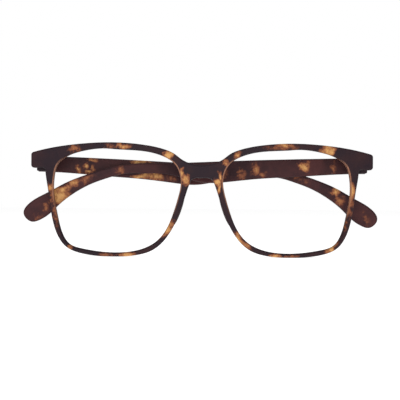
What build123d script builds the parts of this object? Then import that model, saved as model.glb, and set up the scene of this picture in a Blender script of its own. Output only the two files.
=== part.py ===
from build123d import *
from math import cos, radians, sin, sqrt, tan
import os

os.makedirs("parts", exist_ok=True)

# Plastic spectacle frame, temples folded. Millimetres.
# +X to the wearer's left seen from the front as right, +Y backwards towards the head, +Z up.
# Origin: boxing centre of the front (half-way between the rims, on the lens datum line),
# on the back face of the bridge.

# front, lens openings and rims
LENS_W = 52.1          # opening width
LENS_H = 42.2          # opening height
BRIDGE_GAP = 17.1      # between the two openings
RIM_SIDE = 2.4         # rim width at its sides
RIM_TOP = 2.55
RIM_BOTTOM = 1.6
FRONT_T = 4.0          # thickness of the sheet
FACE_R = 350.0         # face form, radius of the back face in plan
GROOVE_DEPTH = 0.6     # lens groove
GROOVE_W = 1.2
EDGE_R = 0.75          # rounding of the outside edges
BEVEL = 0.45           # bevel round each opening

# bridge and endpieces
BRIDGE_TOP = 14.6
BRIDGE_UNDER = 9.4
END_REACH = 9.25       # opening to the outer end of the front
END_TOP = 19.4
END_BOTTOM = 13.2
END_T = 0.8            # how far the endpiece stands behind the rim's back face
END_R = 1.2            # endpiece corners
END_INNER = 2.0        # inner side of the thick endpiece, from the opening
HEEL_W = 4.2           # plastic heel behind the endpiece, in front of the hinge
HEEL_DROP = 1.3        # how far it hangs below the endpiece
HEEL_T = 3.0
HEEL_R = 0.6

# hinge
HINGE_Z = 15.15
KNUCKLES = 5
KNUCKLE_H = 0.94
KNUCKLE_GAP = 0.06
BARREL_R = 1.3
SCREW_R = 0.55
RUN_CLEAR = 0.05       # radial running clearance of the temple's knuckles on the screw
HEAD_R = 1.0
HEAD_H = 0.5
SLOT_W = 0.3
PIVOT_BACK = 2.2       # pivot behind the endpiece's back face
PIVOT_IN = 1.5         # temple's inner face outside the pivot, when open
PLATE_T = 0.8          # leaf plates, let into the plastic
PLATE_W = 3.6
TEMPLE_PLATE_L = 8.0
WEB_HALF = 0.85

# temples
TEMPLE_T = 2.8         # thickness at the hinge
TIP_T = 2.3            # thickness at the tip
TEMPLE_L = 139.0       # pivot to tip
TEMPLE_BOW = 2.0       # inward bow at the tip
DROP_RIGHT = 2.05      # degrees, slope from hinge to ear
DROP_LEFT = 2.75       # the left hinge sits a little looser
BUTT_GAP = 0.1         # temple end to endpiece, when open
TEMPLE_EDGE_R = 0.7
LEAN_RIGHT = -1.1      # rest angle of the folded right temple, from straight across
LEAN_LEFT = 2.0        # and of the left one, which is folded over it

# nose pads
PAD_LONG = 7.5         # half length
PAD_WIDE = 1.3         # half width
PAD_HIGH = 3.8
PAD_TILT = 18.0
PAD_Z = -3.0

DEEP = 120.0           # length of the prisms that are cut to shape

# worked out from the sizes above
LENS_X = BRIDGE_GAP / 2 + LENS_W / 2
HALF_W = BRIDGE_GAP / 2 + LENS_W + END_REACH


def back_y(x):
    """Back face of the front at this distance from the middle."""
    return FACE_R - sqrt(FACE_R**2 - x**2)


END_Y = back_y(HALF_W) + END_T
PIVOT_X = HALF_W - TEMPLE_T - PIVOT_IN
PIVOT_Y = END_Y + PIVOT_BACK
HINGE_H = KNUCKLES * KNUCKLE_H + (KNUCKLES - 1) * KNUCKLE_GAP


def opening_point(fx, fz, grow=0.0):
    """A point given as fractions of the opening's half width and half height."""
    return (LENS_X + fx * (LENS_W / 2 + grow), 0, fz * (LENS_H / 2 + grow))


def rim_point(fx, fz):
    """A point given as fractions of the rim's outside half width and half height."""
    rim_z = RIM_TOP if fz > 0 else RIM_BOTTOM
    return (LENS_X + fx * (LENS_W / 2 + RIM_SIDE), 0, fz * (LENS_H / 2 + rim_z))


def through(edges):
    """Solid prism along Y over a closed outline in the XZ plane."""
    face = Pos(0, -DEEP / 2, 0) * make_face(edges)
    return extrude(face, amount=DEEP, dir=(0, 1, 0))


def shell(inner, outer):
    """Curved slab between two distances in front of the back face's cylinder."""
    place = Pos(0, FACE_R, 0)
    return place * (Cylinder(FACE_R + outer, 80) - Cylinder(FACE_R + inner, 80))


def opening_edge(grow=0.0):
    """Outline of the right-hand lens opening, or of one this much larger all round."""
    points = [
        (0.11, 1.0), (-0.40, 0.958), (-0.71, 0.864), (-0.91, 0.70), (-1.0, 0.35),
        (-0.96, 0.073), (-0.875, -0.271), (-0.741, -0.617), (-0.61, -0.79),
        (-0.44, -0.908), (-0.02, -1.0), (0.55, -0.93), (0.74, -0.845),
        (0.864, -0.617), (0.929, -0.329), (1.0, 0.276), (0.987, 0.477),
        (0.944, 0.673), (0.821, 0.826), (0.549, 0.953),
    ]
    loop = Spline([opening_point(*p, grow) for p in points], periodic=True)
    return [loop.trim(0, 0.5), loop.trim(0.5, 1)]


def both_sides(points, middle):
    """A row of points and its mirror image, joined at a point on the middle plane."""
    return [(-x, y, z) for x, y, z in reversed(points)] + [middle] + points


def neck_x():
    """Where the outside of the rim meets the underside of the endpiece."""
    return rim_point(1.035, 0)[0]


def outline():
    """Outside edge of the whole front."""
    top = [(-0.915, 0.722), (-0.822, 0.807), (-0.70, 0.875), (-0.53, 0.93), (-0.36, 0.964)]
    top += [(0.1, 1.0), (0.56, 0.971), (0.8, 0.936), (1.02, 0.888)]
    side = [(-1.03, 0.27), (-0.961, 0.013), (-0.87, -0.308), (-0.731, -0.629), (-0.619, -0.79)]
    side += [(-0.5, -0.892), (-0.362, -0.952), (0.035, -1.0), (0.503, -0.948), (0.731, -0.825)]
    side += [(0.847, -0.629), (0.93, -0.306), (0.997, 0.221), (1.026, 0.429)]
    top_row = [rim_point(*p) for p in top] + [(HALF_W, 0, END_TOP)]
    low_row = [(BRIDGE_GAP * 0.22, 0, BRIDGE_UNDER - 0.45)]
    low_row += [rim_point(*p) for p in side] + [(neck_x(), 0, END_BOTTOM)]
    upper = Spline(both_sides(top_row, (0, 0, BRIDGE_TOP)))
    lower = Spline(both_sides(low_row, (0, 0, BRIDGE_UNDER)))
    ends = []
    for side_x in (-1, 1):
        high = (side_x * HALF_W, 0, END_TOP)
        low = (side_x * HALF_W, 0, END_BOTTOM)
        ends += [Line(high, low), Line(low, (side_x * neck_x(), 0, END_BOTTOM))]
    return [upper, lower] + ends


def edges_at(solid, x, z):
    """The prism edges that run along Y through this point."""
    picked = solid.edges().filter_by(Axis.Y)
    return picked.filter_by(lambda e: abs(e.center().X - x) < 0.05 and abs(e.center().Z - z) < 0.05)


def blank():
    """The front without its openings: a curved sheet with thicker endpieces."""
    prism = through(outline())
    for x in (-HALF_W, HALF_W):
        for z in (END_TOP, END_BOTTOM):
            prism = fillet(edges_at(prism, x, z), END_R)
    for x in (-neck_x(), neck_x()):
        prism = fillet(edges_at(prism, x, END_BOTTOM), END_R)
    end_x = BRIDGE_GAP / 2 + LENS_W + END_INNER
    block = Pos(end_x + 20, END_Y - 20, END_TOP) * Box(40, 40, 30)
    blocks = block + mirrored(block)
    slab = shell(0, FRONT_T) + (blocks & Pos(0, FACE_R, 0) * Cylinder(FACE_R + FRONT_T, 80))
    solid = prism & slab
    return fillet([e for e in solid.edges() if is_front_edge(e)], EDGE_R)


def heel():
    """Right-hand heel: a small block that carries the endpiece down in front of the hinge."""
    high = HINGE_Z - (END_BOTTOM - HEEL_DROP)
    block = Pos(PIVOT_X, END_Y - HEEL_T / 2, HINGE_Z - high / 2) * Box(HEEL_W, HEEL_T, high)
    under = block.edges().filter_by(Axis.Y).group_by(Axis.Z)[0]
    return fillet(under, HEEL_R)


def front_with_rims():
    """The front with both openings, their bevels and their lens grooves."""
    solid = blank()
    hole = through(opening_edge())
    wide = through(opening_edge(GROOVE_DEPTH))
    middle = FRONT_T / 2
    groove = wide & shell(middle - GROOVE_W / 2, middle + GROOVE_W / 2)
    solid -= hole + mirrored(hole)
    solid = chamfer([e for e in solid.edges() if is_front_edge(e) and is_opening(e)], BEVEL)
    return solid - groove - mirrored(groove)


def is_front_edge(edge):
    """True for an edge that lies on the curved front face."""
    spots = [edge.position_at(t) for t in (0.1, 0.5, 0.9)]
    return all(abs(sqrt(p.X**2 + (p.Y - FACE_R)**2) - FACE_R - FRONT_T) < 0.01 for p in spots)


def is_opening(edge):
    """True for an edge inside a rim."""
    p = edge.position_at(0.5)
    return abs(abs(p.X) - LENS_X) < LENS_W / 2 + 0.3 and abs(p.Z) < LENS_H / 2 + 0.3


def barrel(numbers, hole_r):
    """The knuckles with these numbers, counted from the bottom, round the pivot at the origin."""
    out = []
    for n in numbers:
        z = -HINGE_H / 2 + n * (KNUCKLE_H + KNUCKLE_GAP) + KNUCKLE_H / 2
        out.append((z, Pos(0, 0, z) * (Cylinder(BARREL_R, KNUCKLE_H) - Cylinder(hole_r, KNUCKLE_H))))
    return out


def front_leaf():
    """Front leaf, pivot at the origin: knuckles on webs from a plate sunk in the endpiece."""
    depth = PIVOT_BACK
    plate = Pos(0, -depth - PLATE_T / 2, 0) * Box(PLATE_W, PLATE_T, HINGE_H)
    solid = fillet(plate.edges().filter_by(Axis.Y), 0.5)
    for z, ring in barrel(range(0, KNUCKLES, 2), SCREW_R):
        web = Pos(0, -depth / 2, z) * Box(2 * WEB_HALF, depth, KNUCKLE_H)
        solid += ring + (web - Pos(0, 0, z) * Cylinder(SCREW_R, KNUCKLE_H))
    seat = Pos(0, 0, HINGE_H / 2 - HEAD_H / 2) * Cylinder(HEAD_R, HEAD_H)
    return solid - seat


def temple_leaf():
    """Temple leaf, pivot at the origin, temple folded along -X."""
    plate = Pos(WEB_HALF - TEMPLE_PLATE_L / 2, PIVOT_IN + PLATE_T / 2, 0)
    plate *= Box(TEMPLE_PLATE_L, PLATE_T, HINGE_H)
    solid = fillet(plate.edges().filter_by(Axis.Y), 0.5)
    hole_r = SCREW_R + RUN_CLEAR
    for z, ring in barrel(range(1, KNUCKLES, 2), hole_r):
        web = Pos(0, PIVOT_IN / 2, z) * Box(2 * WEB_HALF, PIVOT_IN, KNUCKLE_H)
        solid += ring + (web - Pos(0, 0, z) * Cylinder(hole_r, KNUCKLE_H))
    return solid


def screw():
    """Hinge screw with a slotted head, pivot at the origin."""
    shank = Pos(0, 0, -HEAD_H / 2) * Cylinder(SCREW_R, HINGE_H - HEAD_H)
    head = Pos(0, 0, HINGE_H / 2 - HEAD_H / 2) * Cylinder(HEAD_R, HEAD_H)
    slot = Pos(0, 0, HINGE_H / 2) * Box(2 * HEAD_R + 1, SLOT_W, HEAD_H)
    return shank + head - slot


def temple_side(points, drop):
    """Outline points of the temple: share of its length, then height above the drop line."""
    fall = tan(radians(drop))
    return [(-s * TEMPLE_L, 0, z - s * TEMPLE_L * fall) for s, z in points]


def temple_profile(drop):
    """Side outline, pivot at the origin and hinge centre at zero height, folded along -X."""
    butt = PIVOT_BACK - BUTT_GAP
    top = [(0.07, 3.36), (0.225, 3.55), (0.464, 3.42), (0.575, 3.4), (0.667, 3.6)]
    top += [(0.724, 2.75), (0.81, -0.25), (0.882, -3.95), (0.93, -7.4), (0.978, -11.0)]
    low = [(0.975, -19.3), (0.954, -18.75), (0.93, -16.9), (0.895, -12.5), (0.847, -7.6)]
    low += [(0.8, -4.3), (0.751, -2.05), (0.70, -0.5), (0.649, -0.6), (0.59, -0.9)]
    low += [(0.53, -2.9), (0.452, -5.35), (0.4, -5.2), (0.3, -4.2), (0.2, -3.85), (0.06, -3.3)]
    start = (butt, 0, 3.3)
    end = (butt, 0, -3.35)
    rim = Spline([start] + temple_side(top + [(1.0, -15.8)] + low, drop) + [end])
    return [rim.trim(0, 0.5), rim.trim(0.5, 1), Line(end, start)]


def temple_plan():
    """Plan of the temple: flat at the hinge, bowed inwards and thinner at the tip."""
    butt = PIVOT_BACK - BUTT_GAP
    reach = TEMPLE_L + 1
    inner_0 = (butt, PIVOT_IN, 0)
    inner_1 = (-reach, PIVOT_IN - TEMPLE_BOW, 0)
    outer_0 = (butt, PIVOT_IN + TEMPLE_T, 0)
    outer_1 = (-reach, PIVOT_IN - TEMPLE_BOW + TIP_T, 0)
    inner = TangentArc(inner_0, inner_1, tangent=(-1, 0, 0))
    outer = TangentArc(outer_0, outer_1, tangent=(-1, 0, 0))
    return make_face([inner, Line(inner_1, outer_1), outer, Line(outer_0, inner_0)])


def temple(drop):
    """Temple in plastic, pivot at the origin, folded along -X, with a seat for its leaf."""
    prism = through(temple_profile(drop))
    plan = Pos(0, 0, -DEEP / 2) * temple_plan()
    arm = prism & extrude(plan, amount=DEEP, dir=(0, 0, 1))
    keep_x = PIVOT_BACK - BUTT_GAP - 0.01
    rounded = [e for e in arm.edges() if e.center().X < keep_x and e.length > 5]
    arm = fillet(rounded, TEMPLE_EDGE_R)
    return arm - temple_leaf()


def nose_pad():
    """Right nose pad: an oval ridge bonded to the back of the rim."""
    inner = opening_point(-0.93, -0.14)[0]
    outer = rim_point(-0.917, -0.148)[0]
    body = scale(Sphere(1), by=(PAD_WIDE, PAD_HIGH, PAD_LONG))
    x = (inner + outer) / 2
    place = Pos(x, back_y(x), PAD_Z) * Rot(0, -PAD_TILT, 0)
    pad = place * body
    return pad - Pos(0, FACE_R, 0) * (Cylinder(FACE_R + 30, 80) - Cylinder(FACE_R, 80))


def mirrored(shape):
    return mirror(shape, about=Plane.YZ)


def at_hinge(shape, lean):
    """Puts a piece made round the pivot in place at the right-hand hinge, turned to its rest angle."""
    return Pos(PIVOT_X, PIVOT_Y, HINGE_Z) * Rot(0, 0, -lean) * shape


leaf = at_hinge(front_leaf(), 0)
front = front_with_rims() + heel() + mirrored(heel()) - leaf - mirrored(leaf)
screws = at_hinge(screw(), 0)
arm_leaf = temple_leaf()
pad = nose_pad()

nodes = {
    "front": front,
    "nose_pad_right": pad,
    "nose_pad_left": mirrored(pad),
    "hinge_front_right": leaf,
    "hinge_front_left": mirrored(leaf),
    "hinge_screws": Compound(children=[screws, mirrored(screws)]),
    "temple_right": at_hinge(temple(DROP_RIGHT), LEAN_RIGHT),
    "temple_left": mirrored(at_hinge(temple(DROP_LEFT), LEAN_LEFT)),
    "hinge_temple_right": at_hinge(arm_leaf, LEAN_RIGHT),
    "hinge_temple_left": mirrored(at_hinge(arm_leaf, LEAN_LEFT)),
}
for name, shape in nodes.items():
    export_step(shape, f"parts/{name}.step")

print("hinge pivots at", PIVOT_X, PIVOT_Y, HINGE_Z)
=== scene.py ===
# %% [markdown]
# # A tortoiseshell spectacle frame, temples folded
#
# The frame's solids come from the CAD pack: one front with two open rims, two temples,
# four hinge leaves, two screws and two nose pads. Their shapes are right already, so the
# work here is the finish: matte mottled plastic, milled hinge metal and satin pads, with
# nothing printed on the temples. Everything is in metres.

# %% Load the frame
import math

import bpy
import numpy as np
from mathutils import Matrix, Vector


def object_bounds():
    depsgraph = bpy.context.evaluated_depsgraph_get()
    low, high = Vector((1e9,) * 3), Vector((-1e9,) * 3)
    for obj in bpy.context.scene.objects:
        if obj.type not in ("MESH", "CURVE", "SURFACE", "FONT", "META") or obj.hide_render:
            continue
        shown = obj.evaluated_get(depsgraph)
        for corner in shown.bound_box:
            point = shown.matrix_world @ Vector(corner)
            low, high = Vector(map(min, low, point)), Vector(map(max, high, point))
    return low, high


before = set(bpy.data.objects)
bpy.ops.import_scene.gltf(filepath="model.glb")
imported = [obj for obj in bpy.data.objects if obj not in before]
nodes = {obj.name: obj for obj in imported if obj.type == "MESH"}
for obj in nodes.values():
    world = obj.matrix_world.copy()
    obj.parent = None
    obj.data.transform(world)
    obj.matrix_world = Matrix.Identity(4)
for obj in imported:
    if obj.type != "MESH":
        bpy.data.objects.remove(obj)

mm = 0.001
lowest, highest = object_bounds()
print("nodes:", sorted(nodes))

# %% [markdown]
# ## Colours
#
# Plastics and metals are described by the sRGB colours one would read off a swatch, but
# shaders mix light, so every swatch is turned to linear values by one function.


# %% A swatch as linear light
def swatch(code):
    """Linear RGBA of an sRGB hex colour: c/12.92 below 0.04045, else ((c+0.055)/1.055)^2.4."""
    c = np.array([int(code[i : i + 2], 16) for i in (1, 3, 5)]) / 255
    linear = np.where(c <= 0.04045, c / 12.92, ((c + 0.055) / 1.055) ** 2.4)
    return (*linear.tolist(), 1.0)


print("aubergine is", [round(v, 4) for v in swatch("#271a21")])

# %% [markdown]
# ## One way to add a shader node
#
# Every material below is a small network. One function adds a node, sets its values and
# links its inputs, so each network reads from top to bottom like a recipe. The few kinds
# of node that come back often get a short name of their own, built on that function.


# %% Add a node
def add(tree, kind, inputs=None, **settings):
    """Adds a node. Settings are its properties; inputs maps a socket to a value or an output."""
    node = tree.nodes.new("ShaderNode" + kind)
    for name, value in settings.items():
        setattr(node, name, value)
    for socket, value in (inputs or {}).items():
        if isinstance(value, bpy.types.NodeSocket):
            tree.links.new(value, node.inputs[socket])
        else:
            node.inputs[socket].default_value = value
    return node


def new_finish(name):
    """A material with an empty network."""
    material = bpy.data.materials.new(name)
    material.use_nodes = True
    material.node_tree.nodes.clear()
    return material, material.node_tree


print("materials that came with the frame:", len(bpy.data.materials))


# %% Short names for the usual nodes
def maths(tree, operation, *values):
    """Result of a Math node on these values or outputs, in this order."""
    return add(tree, "Math", dict(enumerate(values)), operation=operation).outputs[0]


def ranged(tree, value, low, high, least=0.0, most=1.0):
    """The value moved from the range low..high to the range least..most, and kept inside it."""
    sockets = {"Value": value, "From Min": low, "From Max": high, "To Min": least, "To Max": most}
    return add(tree, "MapRange", sockets).outputs[0]


def noise(tree, place, scale, detail, roughness=0.5):
    """A noise with this many features to the metre."""
    sockets = {"Vector": place, "Scale": scale, "Detail": detail, "Roughness": roughness}
    return add(tree, "TexNoise", sockets)


def ramp(tree, value, stops):
    """Colour for a value: stops are (position, swatch) from the lowest to the highest."""
    node = add(tree, "ValToRGB", {"Fac": value})
    elements = node.color_ramp.elements
    elements[0].position, elements[0].color = stops[0][0], swatch(stops[0][1])
    elements[1].position, elements[1].color = stops[-1][0], swatch(stops[-1][1])
    for position, code in stops[1:-1]:
        elements.new(position).color = swatch(code)
    return node.outputs["Color"]


def mixed(tree, factor, first, second, blend="MIX"):
    """A mix of two colours. They go into sockets 6 and 7 of a Mix node and come out of 2."""
    sockets = {0: factor, 6: first, 7: second}
    return add(tree, "Mix", sockets, data_type="RGBA", blend_type=blend).outputs[2]


print("short names:", [f.__name__ for f in (maths, ranged, noise, ramp, mixed)])

# %% [markdown]
# ## Tortoiseshell plastic
#
# Tortoiseshell sheet is made from blocks of amber and dark brown plastic pressed together
# and sliced, so its patches are soft-edged, uneven and go right through the sheet. The
# surface is tumbled matte, so it has a low, broad sheen and no sharp highlights.
#
# Each patch is an ellipse in the plane of the piece. The patches are laid out on the
# Object coordinates, which are the frame's own coordinates at rest, so they stay on the
# plastic when a temple opens. A painted image would do too, but it would need a map of
# every curved face, and an ellipse needs only a place and a size.
#
# A patch is (x, z, half length, half height, turn in degrees, strength), in millimetres.

# %% Where the patches are
front_patches = [
    (-32.0, 22.2, 3.0, 1.3, 4, 0.85),
    (-37.0, 22.0, 3.2, 1.6, 0, 0.34),
    (-52.2, 20.9, 2.6, 2.2, 10, 0.46),
    (-13.9, 19.2, 2.9, 1.6, 35, 0.9),
    (-7.5, 11.4, 0.6, 2.2, -12, 0.72),
    (-6.5, 8.2, 1.3, 1.7, -15, 0.95),
    (-61.4, 5.0, 1.9, 2.0, -25, 0.8),
    (-60.8, 1.2, 1.6, 3.2, 0, 0.42),
    (-13.7, -11.5, 1.7, 4.4, -33, 0.86),
    (-29.8, -22.1, 3.0, 1.3, 0, 0.95),
    (-38.0, -21.6, 5.5, 1.0, 4, 0.36),
    (-53.0, -18.8, 4.0, 1.2, 28, 0.42),
    (-59.0, -6.0, 1.5, 7.0, 8, 0.36),
    (33.6, 22.6, 2.6, 1.1, 0, 0.74),
    (32.0, 22.2, 6.6, 1.9, -2, 0.42),
    (51.2, 20.9, 2.6, 2.6, -10, 0.9),
    (9.4, 15.7, 1.4, 1.5, 40, 0.68),
    (14.4, 18.2, 1.7, 1.2, 35, 0.62),
    (6.2, 7.7, 1.6, 1.5, 0, 1.0),
    (7.5, 10.4, 0.7, 2.4, 25, 0.85),
    (7.2, 5.2, 0.8, 2.2, -15, 0.85),
    (60.6, 4.2, 1.6, 3.4, 5, 0.92),
    (60.0, -1.6, 1.8, 4.0, 0, 0.46),
    (60.2, 10.0, 1.0, 4.0, 5, 0.4),
    (15.4, -15.4, 1.2, 3.4, 38, 0.72),
    (18.6, -18.4, 3.4, 1.4, -35, 0.5),
    (30.6, -22.2, 3.0, 1.3, 0, 1.0),
    (36.2, -22.2, 3.6, 1.2, 0, 0.5),
    (52.8, -17.8, 3.4, 1.6, 42, 0.82),
    (58.4, -9.0, 1.0, 3.4, -10, 0.36),
]
right_temple_patches = [
    (42.8, 14.9, 2.2, 1.7, 15, 1.0),
    (54.6, 14.2, 1.9, 2.8, 0, 0.36),
    (22.0, 13.4, 2.0, 3.0, 10, 0.5),
    (16.4, 11.2, 2.4, 2.2, 0, 0.48),
    (26.0, 11.4, 2.2, 1.6, 0, 0.34),
    (9.0, 12.0, 2.0, 2.4, 0, 0.4),
    (-34.0, 12.4, 1.9, 2.6, 0, 0.4),
    (-58.8, 1.4, 3.2, 3.8, 0, 1.0),
    (-57.0, 4.4, 2.6, 1.6, 25, 0.8),
    (-53.0, 6.9, 2.0, 1.6, 25, 0.62),
    (-48.0, 8.4, 4.4, 1.8, 20, 0.34),
    (-64.0, -2.2, 1.6, 2.4, 0, 0.4),
    (-67.5, -7.0, 3.2, 1.6, 30, 0.3),
]
left_temple_patches = [
    (-48.3, 13.9, 1.2, 1.3, 0, 1.0),
    (-51.6, 13.2, 0.7, 1.7, 12, 0.9),
    (-45.2, 13.3, 0.7, 1.7, -12, 0.9),
    (-47.6, 11.3, 2.4, 0.6, 0, 0.85),
    (-45.6, 16.9, 1.9, 0.8, 0, 0.7),
    (-25.0, 16.3, 3.6, 0.9, -2, 0.95),
    (-25.6, 10.2, 3.2, 1.2, -3, 0.95),
    (-19.0, 9.7, 3.2, 1.1, -3, 0.9),
    (-13.0, 9.2, 3.0, 1.4, 0, 0.4),
    (55.8, 4.5, 1.9, 1.9, 20, 0.95),
    (57.6, 0.6, 2.6, 2.4, -30, 0.4),
    (40.0, 9.4, 5.0, 1.6, -20, 0.3),
    (69.0, -7.0, 1.4, 4.2, 25, 0.3),
]
print("patches:", len(front_patches), len(right_temple_patches), len(left_temple_patches))

# %% [markdown]
# ## From ellipses to patches
#
# A Mapping node turns the place into "how far from this patch's middle". A spherical
# gradient is 1 there and falls to 0 further out, and the strongest patch wins. Plain
# ellipses would look stamped, so the place is first pushed about by two noises, one with
# features of about 5 mm and one of about 1 mm.

# %% Find the strongest patch
coarse_scale = 210.0
fine_scale = 900.0
coarse_push = 4.8 * mm
fine_push = 1.6 * mm
edge_share = 0.62
print("features in mm:", [round(1 / scale / mm, 1) for scale in (coarse_scale, fine_scale)])


def pushed(tree, place, texture, distance):
    """The place pushed by the noise's colour, by up to half this distance each way."""
    colour = texture.outputs["Color"]
    push = add(tree, "VectorMath", {0: colour, 1: (0.5, 0.5, 0.5)}, operation="SUBTRACT")
    push = add(tree, "VectorMath", {0: push.outputs[0], "Scale": distance}, operation="SCALE")
    return add(tree, "VectorMath", {0: place, 1: push.outputs[0]}, operation="ADD").outputs[0]


def strongest_patch(tree, place, patches):
    """0 outside the patches, rising to a patch's strength at its middle.

    The outer part of a gradient is too faint to see, so it ends further out than the
    patch's half length and half height: those are edge_share of it.
    """
    flat = add(tree, "VectorMath", {0: place, 1: (1.0, 0.0, 1.0)}, operation="MULTIPLY")
    strongest = None
    for x, z, long, high, turn, strength in patches:
        sockets = {
            "Vector": flat.outputs[0],
            "Location": (x * mm, 0, z * mm),
            "Rotation": (0, math.radians(-turn), 0),
            "Scale": (long * mm / edge_share, 1, high * mm / edge_share),
        }
        spot = add(tree, "Mapping", sockets, vector_type="TEXTURE")
        ball = add(tree, "TexGradient", {"Vector": spot.outputs[0]}, gradient_type="SPHERICAL")
        depth = maths(tree, "MULTIPLY", ball.outputs["Fac"], strength)
        strongest = depth if strongest is None else maths(tree, "MAXIMUM", strongest, depth)
    return strongest


# %% [markdown]
# ## Edges and bevels
#
# The cut edges get painted shade: faces that turn away from the front and the back are darkened.
# The bevels round the lens openings are the exception: they get a painted tan highlight, standing
# in for light that comes through the thin corner there.
# Both are read from the Object normal, so they turn with the piece.

# %% Paint shade on the edges and a highlight on the bevels
opening_middle = 34.6 * mm
# Painted shade: an edge-on face keeps this share of its colour.
painted_shade_edge_on = 0.45
print("openings are centred", round(opening_middle / mm, 1), "mm either side of the middle")


def painted_edge_shade(tree, normal):
    """Painted shade, a grey to multiply by: 1 on faces that look forwards or back, darker
    edge-on.
    """
    facing = maths(tree, "ABSOLUTE", normal.outputs["Y"])
    facing = ranged(tree, facing, 0.2, 0.9, painted_shade_edge_on)
    return add(tree, "CombineColor", {0: facing, 1: facing, 2: facing}).outputs[0]


def painted_bevel_highlight(tree, place, normal):
    """How much painted tan highlight goes on: up to 1 on the upright sides of an opening.

    Inside an opening the normal points at the opening's middle, so the place measured
    from that middle, times the normal, is negative there and positive on outside edges.
    It is also negative on the inward steps behind the endpieces, so they get the painted
    highlight too. The painted highlight fades out towards the bottom of the rims.
    """
    spot = add(tree, "SeparateXYZ", {0: place})
    side = maths(tree, "SIGN", spot.outputs["X"])
    across = maths(tree, "ABSOLUTE", spot.outputs["X"])
    across = maths(tree, "SUBTRACT", across, opening_middle)
    outward = maths(tree, "MULTIPLY", normal.outputs["X"], side)
    inside = maths(tree, "LESS_THAN", maths(tree, "MULTIPLY", across, outward), 0.0)
    upright = ranged(tree, maths(tree, "ABSOLUTE", normal.outputs["X"]), 0.3, 0.6)
    high = ranged(tree, spot.outputs["Z"], -8 * mm, 4 * mm)
    return maths(tree, "MULTIPLY", maths(tree, "MULTIPLY", inside, upright), high)


# %% [markdown]
# ## The whole plastic
#
# Under the patches lies a dark ground that drifts between two close colours over
# centimetres. The patches are amber and darken through brown towards their edges. A blotch
# noise of about 3 mm makes them uneven inside and the fine noise adds specks. Last comes a
# grain far too fine to see one by one, which only breaks up the sheen.

# %% Mix the tortoiseshell
amber = [(0.12, "#532b22"), (0.28, "#7a4730"), (0.42, "#9c6540")]
amber += [(0.58, "#b98450"), (0.8, "#cd9a60")]
front_ground = [(0.45, "#271a21"), (0.75, "#3a2222")]
temple_ground = [(0.38, "#311a1e"), (0.66, "#4b2727")]
# The colour of the painted highlight on the bevels.
painted_highlight_tan = "#9a6c55"
ground_scale = 75.0
blotch_scale = 380.0
grain_scale = 4200.0
plastic_ior = 1.49


def patch_amount(tree, place, patches):
    """Depth inside the patches after the blotches and specks, and the blotches alone."""
    coarse = noise(tree, place, coarse_scale, 2.0)
    fine = noise(tree, place, fine_scale, 3.0, 0.65)
    moved = pushed(tree, place, coarse, coarse_push)
    moved = pushed(tree, moved, fine, fine_push)
    blotch = noise(tree, place, blotch_scale, 3.0, 0.7)
    blotch = ranged(tree, blotch.outputs["Fac"], 0.34, 0.66, 0.5, 1.3)
    specks = maths(tree, "SUBTRACT", fine.outputs["Fac"], 0.5)
    specks = maths(tree, "MULTIPLY", specks, 0.4)
    strongest = strongest_patch(tree, moved, patches)
    return maths(tree, "MULTIPLY_ADD", strongest, blotch, specks), blotch


def tortoiseshell(name, patches, ground, roughness, with_bevel_highlight=False):
    """Matte mottled plastic with these patches over a drifting dark ground."""
    material, tree = new_finish(name)
    coordinates = add(tree, "TexCoord")
    place = coordinates.outputs["Object"]
    normal = add(tree, "SeparateXYZ", {0: coordinates.outputs["Normal"]})
    amount, blotch = patch_amount(tree, place, patches)
    drift = noise(tree, place, ground_scale, 4.0, 0.65)
    under = ramp(tree, drift.outputs["Fac"], ground)
    colour = mixed(tree, ranged(tree, amount, 0.1, 0.26), under, ramp(tree, amount, amber))
    # Painted shade darkens the edge-on faces.
    colour = mixed(tree, 1.0, colour, painted_edge_shade(tree, normal), "MULTIPLY")
    if with_bevel_highlight:
        # Painted highlight: the bevels' upright sides turn tan, unevenly with the blotches.
        light = maths(tree, "MULTIPLY", painted_bevel_highlight(tree, place, normal), blotch)
        colour = mixed(tree, light, colour, swatch(painted_highlight_tan))
    shader = add(tree, "BsdfPrincipled", {"Base Color": colour, "Roughness": roughness})
    shader.inputs["IOR"].default_value = plastic_ior
    shader.inputs["Specular IOR Level"].default_value = 0.15
    grain = noise(tree, place, grain_scale, 2.0)
    sockets = {"Height": grain.outputs["Fac"], "Strength": 0.08, "Distance": 0.1 * mm}
    bump = add(tree, "Bump", sockets)
    tree.links.new(bump.outputs[0], shader.inputs["Normal"])
    add(tree, "OutputMaterial", {"Surface": shader.outputs[0]})
    return material


matte = "matte_tortoiseshell_"
front_plastic = tortoiseshell(matte + "front", front_patches, front_ground, 0.55, True)
right_plastic = tortoiseshell(matte + "right_temple", right_temple_patches, temple_ground, 0.5)
left_plastic = tortoiseshell(matte + "left_temple", left_temple_patches, temple_ground, 0.5)
print("plastics:", front_plastic.name, right_plastic.name, left_plastic.name)

# %% [markdown]
# ## Nose pads
#
# The pads are moulded from the dark ground colour alone and bonded to the back of the
# rims. They are polished a little more than the sheet, because they touch the skin.


# %% Pad plastic
def pad_finish():
    """Satin dark brown plastic with a faint drift of colour."""
    material, tree = new_finish("satin_pad_plastic")
    place = add(tree, "TexCoord").outputs["Object"]
    drift = noise(tree, place, 160.0, 2.0)
    colour = ramp(tree, drift.outputs["Fac"], [(0.0, "#2c2026"), (1.0, "#4a2c24")])
    shader = add(tree, "BsdfPrincipled", {"Base Color": colour, "Roughness": 0.35})
    shader.inputs["IOR"].default_value = plastic_ior
    add(tree, "OutputMaterial", {"Surface": shader.outputs[0]})
    return material


pad_plastic = pad_finish()
print("pads:", pad_plastic.name)

# %% [markdown]
# ## Hinge metal
#
# The leaves are nickel silver, milled and then tumbled: a pale warm grey metal
# with fine lines round the barrels. The screws are bright turned steel. The lines are a
# noise stretched along X and Y, so it changes mostly with height.


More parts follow.
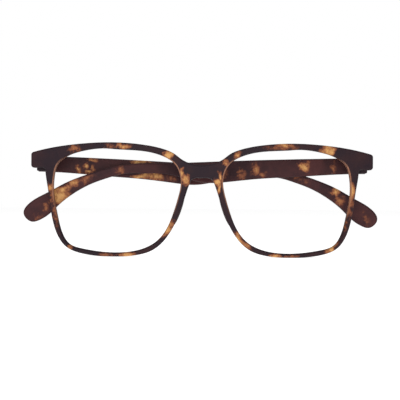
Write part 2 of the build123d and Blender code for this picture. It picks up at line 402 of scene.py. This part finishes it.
# %% Milled and turned metal
def milled_metal(name, light, dark_line, roughness, line_scale):
    """Metal whose colour and roughness waver along lines, this many to the metre."""
    material, tree = new_finish(name)
    place = add(tree, "TexCoord").outputs["Object"]
    drawn = add(tree, "Mapping", {"Vector": place, "Scale": (0.15, 0.15, 1.0)})
    lines = noise(tree, drawn.outputs[0], line_scale, 3.0).outputs["Fac"]
    colour = ramp(tree, lines, [(0.3, dark_line), (0.7, light)])
    rough = ranged(tree, lines, 0.0, 1.0, roughness - 0.06, roughness + 0.08)
    shader = add(tree, "BsdfPrincipled", {"Base Color": colour, "Metallic": 1.0})
    tree.links.new(rough, shader.inputs["Roughness"])
    bump = add(tree, "Bump", {"Height": lines, "Strength": 0.15, "Distance": 0.03 * mm})
    tree.links.new(bump.outputs[0], shader.inputs["Normal"])
    add(tree, "OutputMaterial", {"Surface": shader.outputs[0]})
    return material


leaf_metal = milled_metal("milled_nickel_silver", "#cfc8bb", "#a39c90", 0.32, 6500.0)
screw_metal = milled_metal("turned_steel", "#d8d8d6", "#b4b4b2", 0.22, 9000.0)
print("metals:", leaf_metal.name, screw_metal.name)

# %% Put each finish on its solids
finish_of = {
    "front": front_plastic,
    "temple_right": right_plastic,
    "temple_left": left_plastic,
    "nose_pad_right": pad_plastic,
    "nose_pad_left": pad_plastic,
    "hinge_front_right": leaf_metal,
    "hinge_front_left": leaf_metal,
    "hinge_temple_right": leaf_metal,
    "hinge_temple_left": leaf_metal,
    "hinge_screws": screw_metal,
}
for name, material in finish_of.items():
    solid = nodes[name]
    if not solid.material_slots:
        solid.data.materials.append(material)
    for slot in solid.material_slots:
        slot.material = material
print("finished:", len(finish_of), "nodes")

# %% [markdown]
# ## Light, floor and camera
#
# One broad soft box stands behind the camera, above it and a little to its left, and a
# second hangs overhead. So the faces that look forward are evenly lit and the turned-away
# edges go dark. The floor is pale matte card that the rims stand on. It gives off light
# itself, so that it is nearly as light as the backdrop behind it.


# %% Floor
def sheet_of_card(half, height):
    """A flat square in the XY plane at this height: corners at plus and minus half."""
    xy = np.array([[-1, -1], [1, -1], [1, 1], [-1, 1]]) * half
    points = np.column_stack([xy, np.full(4, height)])
    mesh = bpy.data.meshes.new("card")
    mesh.from_pydata(points.tolist(), [], [(0, 1, 2, 3)])
    card = bpy.data.objects.new("floor", mesh)
    bpy.context.scene.collection.objects.link(card)
    return card


card_white, tree = new_finish("pale_matte_card")
shader = add(tree, "BsdfPrincipled", {"Base Color": swatch("#f6f6f6"), "Roughness": 0.9})
shader.inputs["Emission Color"].default_value = (1, 1, 1, 1)
shader.inputs["Emission Strength"].default_value = 0.7
add(tree, "OutputMaterial", {"Surface": shader.outputs[0]})
floor = sheet_of_card(3.0, lowest[2])
floor.data.materials.append(card_white)
print("floor at", round(lowest[2] / mm, 1), "mm")


# %% Soft boxes
def soft_box(name, place, target, width, watts):
    """A square area light of this width, aimed at the target."""
    data = bpy.data.lights.new(name, "AREA")
    data.shape = "SQUARE"
    data.size = width
    data.energy = watts
    lamp = bpy.data.objects.new(name, data)
    lamp.location = place
    lamp.rotation_euler = (Vector(target) - Vector(place)).to_track_quat("-Z", "Y").to_euler()
    bpy.context.scene.collection.objects.link(lamp)
    return lamp


centre = (0.0, 0.0, 0.0)
lamps = [
    soft_box("front_soft_box", (-0.1, -0.9, 0.35), centre, 0.7, 4.6),
    soft_box("top_soft_box", (0.0, 0.2, 0.9), centre, 0.9, 2.0),
]
print("lamps:", [lamp.name for lamp in lamps])

# %% [markdown]
# The backdrop is plain white where the camera sees it directly. As light on the frame it
# is much weaker, or the matte plastic would look washed out.

# %% Backdrop
white = (1, 1, 1, 1)
world = bpy.data.worlds.new("pale_studio")
bpy.context.scene.world = world
world.use_nodes = True
tree = world.node_tree
tree.nodes.clear()
surround = add(tree, "Background", {"Color": white, "Strength": 0.3})
backdrop = add(tree, "Background", {"Color": white, "Strength": 1.0})
seen_directly = add(tree, "LightPath").outputs["Is Camera Ray"]
seen = add(tree, "MixShader", {0: seen_directly, 1: surround.outputs[0], 2: backdrop.outputs[0]})
add(tree, "OutputWorld", {"Surface": seen.outputs[0]})
print("backdrop:", world.name)

# %% [markdown]
# The camera looks straight at the front from a little over half a metre, with a long
# lens, as in a catalogue picture. The width it sees at the front is 163 mm. It is
# rolled by less than half a degree.

# %% Camera
distance = 0.560
seen_width = 162.6 * mm
sensor_width = 36.0
camera_x, camera_z = -0.75 * mm, 0.5 * mm
roll = math.radians(-0.45)
camera_data = bpy.data.cameras.new("catalogue_camera")
camera_data.sensor_width = sensor_width
camera_data.lens = sensor_width * distance / seen_width
camera = bpy.data.objects.new("catalogue_camera", camera_data)
camera.location = (camera_x, -distance, camera_z)
camera.rotation_euler = (math.radians(90), roll, 0)
bpy.context.scene.collection.objects.link(camera)
bpy.context.scene.camera = camera
bpy.context.scene.view_settings.view_transform = "Standard"
print("lens", round(camera_data.lens, 1), "mm")
